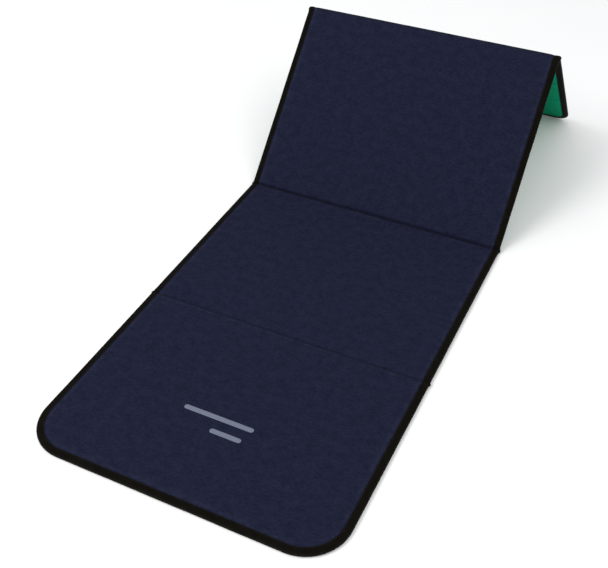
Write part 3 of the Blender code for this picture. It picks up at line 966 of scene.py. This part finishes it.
for number in (1, 2, 3, 4):
    body = f"panel_{number}"
    x, f, faces, border = panel_plan(number)
    turn = panel_turn(number, len(x))
    if number in CORNER_RADIUS:
        outlines = {f"{number}": free_outline(number)}
    else:
        outlines = {f"{number}_{word}": side_outline(number, side) for side, word in SIDES.items()}
    for face, (name, _, node, _, material, slot) in COVERS.items():
        piece = cover_piece(f"{name}_{number}", face, x, f, faces, turn, border, None, material,
                            [f"{node}_{number}"])
        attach(piece, body)
    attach(foam_piece(number), body)
    for end, (points, normals, along, calm) in outlines.items():
        tape = tape_piece(f"edge_tape_{end}", *tape_rings(points, normals, along, calm),
                          panel_turn(number, len(points)), along, [f"edge_binding_{end}"])
        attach(tape, body)
        centres, tangents = spaced_along(points, normals, along)
        for face in COVERS:
            centres[:, 2] = THICKNESS / 2 + UP[face] * TAPE_STITCH_HEIGHT
            row = stitches_piece(f"tape_stitches_{face}_{end}", face, centres, tangents,
                                 panel_turn(number, len(centres)), [f"edge_stitching_{face}_{end}"])
            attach(row, body)

# Pieces over the folds
columns = plan_columns()
stitch_count = int(2 * (HALF_WIDTH - TAPE_FACE) / STITCH_PITCH)
stitch_x = (np.arange(stitch_count) - (stitch_count - 1) / 2) * STITCH_PITCH
along_x = np.tile([1.0, 0.0, 0.0], (stitch_count, 1))
for fold in (1, 2, 3):
    stations = fold_stations(fold)
    x, f = np.meshgrid(columns, stations[:, 0])
    share = np.repeat(stations[:, 1], len(columns))
    faces = grid_faces(*x.shape)[:, ::-1]
    x, f = x.ravel(), f.ravel()
    turn, border = strip_turn(fold, f, share), end_rows(len(columns), x.size)
    line = np.full(stitch_count, FOLD_F[fold])
    line_turn = strip_turn(fold, line, np.full(stitch_count, 0.5))
    for face, (_, name, _, node, material, slot) in COVERS.items():
        distances = way_to_folds(fold, f, share, LEVEL[face])
        piece = cover_piece(f"{name}_{fold}", face, x, f, faces, turn, border, distances, material,
                            [f"{node}_{fold}"])
        blend_over(piece, fold)
        strip_length(face, fold, stations)
        # the sewn line along the fold
        line_z = surface_height(face, stitch_x, line) + UP[face] * THREAD_RADIUS / 2
        centres = np.stack([stitch_x, line, line_z], axis=1)
        thread = stitches_piece(f"fold_stitches_{face}_{fold}", face, centres, along_x, line_turn,
                                [f"fold_stitching_{face}_{fold}"])
        blend_over(thread, fold)
    for side, word in SIDES.items():
        blend_over(crossing_piece(fold, side, word, stations), fold)

for word in ("long", "short"):
    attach(printed_bar(f"print_{word}", f"printed_bar_{word}"), "panel_1")


# Studio: a pale floor, a bright surround and two soft lamps
def pale_floor():
    n = Nodes("pale_floor", roughness=0.8, specular=0.1)
    clouds = n.texture("Noise", n.node("ShaderNodeTexCoord").outputs["Object"], Scale=3)["Fac"]
    colour = n.blend(clouds, (0.90, 0.905, 0.905), (0.93, 0.93, 0.925))
    return n.finish(colour, None, clouds, distance=0.0001, strength=0.1)


FLOOR_HALF, FLOOR_Z = 14, -0.0002
floor_mesh = bpy.data.meshes.new("floor")
floor_corners = [(x * FLOOR_HALF, y * FLOOR_HALF, FLOOR_Z) for x, y in ((-1, -1), (1, -1), (1, 1), (-1, 1))]
floor_mesh.from_pydata(floor_corners, [], [(0, 1, 2, 3)])
floor_mesh.materials.append(pale_floor())
floor = new_object("floor", floor_mesh)

world = bpy.data.worlds.new("studio")
world.use_nodes = True
background = world.node_tree.nodes["Background"].inputs
background["Color"].default_value = (0.98, 0.99, 1.0, 1)
background["Strength"].default_value = 0.85
scene.world = world
scene.view_settings.view_transform = "Standard"


def soft_lamp(name, place, towards, size, power):
    lamp = bpy.data.lights.new(name, "AREA")
    lamp.shape = "DISK"
    lamp.size = size
    lamp.energy = power
    holder = new_object(name, lamp)
    holder.location = place
    holder.rotation_euler = (Vector(towards) - Vector(place)).to_track_quat("-Z", "Y").to_euler()


soft_lamp("key", (-1.5, -1.9, 2.6), (0, 0.1, 0), 1.8, 55)
soft_lamp("fill", (1.9, -1.6, 2.4), (0, 0.1, 0), 2.4, 22)

# Camera, at the viewing angle of the picture that the mat is rebuilt from
CAMERA_TARGET = Vector((-0.0346, -0.1480, 0))
AZIMUTH, ELEVATION, ROLL = (math.radians(a) for a in (26.115, 40.510, -0.387))
CAMERA_DISTANCE = 1.9495
camera = new_object("camera", bpy.data.cameras.new("camera"))
camera.data.sensor_width = 36
camera.data.lens = 55.616
back = Vector((math.sin(AZIMUTH) * math.cos(ELEVATION), -math.cos(AZIMUTH) * math.cos(ELEVATION),
               math.sin(ELEVATION)))
right = Vector((math.cos(AZIMUTH), math.sin(AZIMUTH), 0))
up = back.cross(right)
rolled_right = math.cos(ROLL) * right + math.sin(ROLL) * up
rolled_up = -math.sin(ROLL) * right + math.cos(ROLL) * up
camera.matrix_world = Matrix((rolled_right, rolled_up, back)).transposed().to_4x4()
camera.location = CAMERA_TARGET + CAMERA_DISTANCE * back
scene.camera = camera
